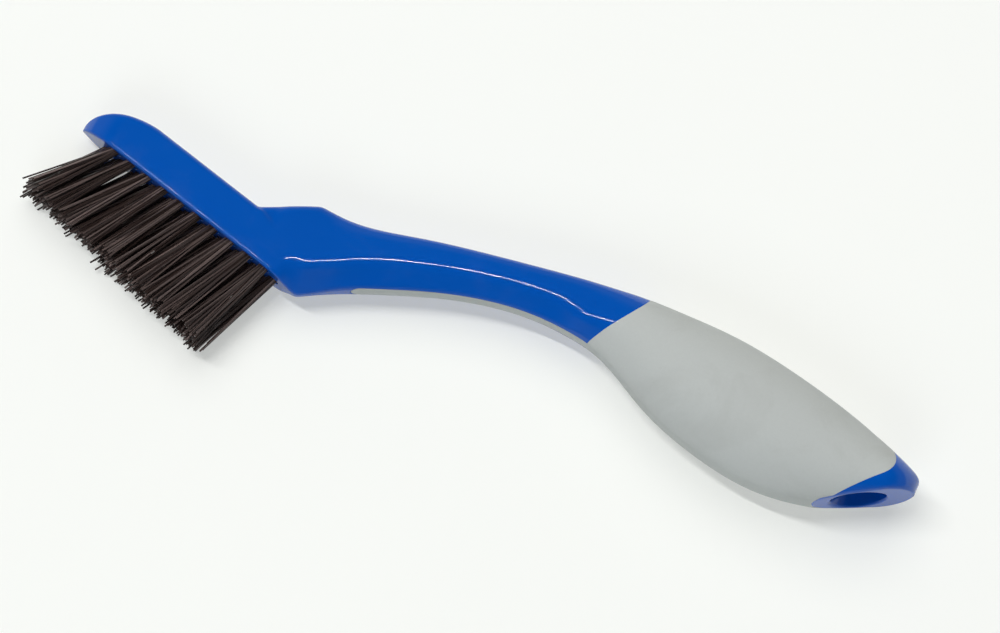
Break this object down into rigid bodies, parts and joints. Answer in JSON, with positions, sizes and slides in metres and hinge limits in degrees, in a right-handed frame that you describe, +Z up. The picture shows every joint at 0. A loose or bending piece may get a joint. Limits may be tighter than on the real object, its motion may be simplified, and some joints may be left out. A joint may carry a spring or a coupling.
{
  "type": "detailing brush",
  "caption": "Hand detailing brush: tilted head with rows of stiff dark filament tufts, arched glossy neck, swelling soft grip, and a slanted end face with an oval hanging hole.",
  "frame": {"origin": "on the surface that the brush lies on, under the middle of its outline", "axes": "+X from the head towards the end of the handle, +Y towards the back of the brush, away from the bristles, +Z up; the brush lies on one side"},
  "size_m": [0.2374, 0.0568, 0.025],
  "materials": {
    "blue_plastic": "glossy moulded plastic",
    "grey_rubber": "matt soft-touch rubber",
    "dark_nylon": "stiff nylon filament, slight sheen",
    "anchor_steel": "flat drawn wire"
  },
  "bodies": {
    "root": {"handle_body": "blue_plastic", "soft_grip": "grey_rubber", "bristle_row_upper": "dark_nylon", "bristle_row_middle": "dark_nylon", "bristle_row_lower": "dark_nylon", "tuft_anchor_01": "anchor_steel", "tuft_anchor_02": "anchor_steel", "tuft_anchor_03": "anchor_steel", "tuft_anchor_04": "anchor_steel", "tuft_anchor_05": "anchor_steel", "tuft_anchor_06": "anchor_steel", "tuft_anchor_07": "anchor_steel", "tuft_anchor_08": "anchor_steel", "tuft_anchor_09": "anchor_steel", "tuft_anchor_10": "anchor_steel", "tuft_anchor_11": "anchor_steel", "tuft_anchor_12": "anchor_steel", "tuft_anchor_13": "anchor_steel", "tuft_anchor_14": "anchor_steel", "tuft_anchor_15": "anchor_steel", "tuft_anchor_16": "anchor_steel", "tuft_anchor_17": "anchor_steel", "tuft_anchor_18": "anchor_steel", "tuft_anchor_19": "anchor_steel", "tuft_anchor_20": "anchor_steel", "tuft_anchor_21": "anchor_steel", "tuft_anchor_22": "anchor_steel", "tuft_anchor_23": "anchor_steel", "tuft_anchor_24": "anchor_steel", "tuft_anchor_25": "anchor_steel", "tuft_anchor_26": "anchor_steel", "tuft_anchor_27": "anchor_steel", "tuft_anchor_28": "anchor_steel", "tuft_anchor_29": "anchor_steel", "tuft_anchor_30": "anchor_steel", "tuft_anchor_31": "anchor_steel"}
  },
  "joints": []
}
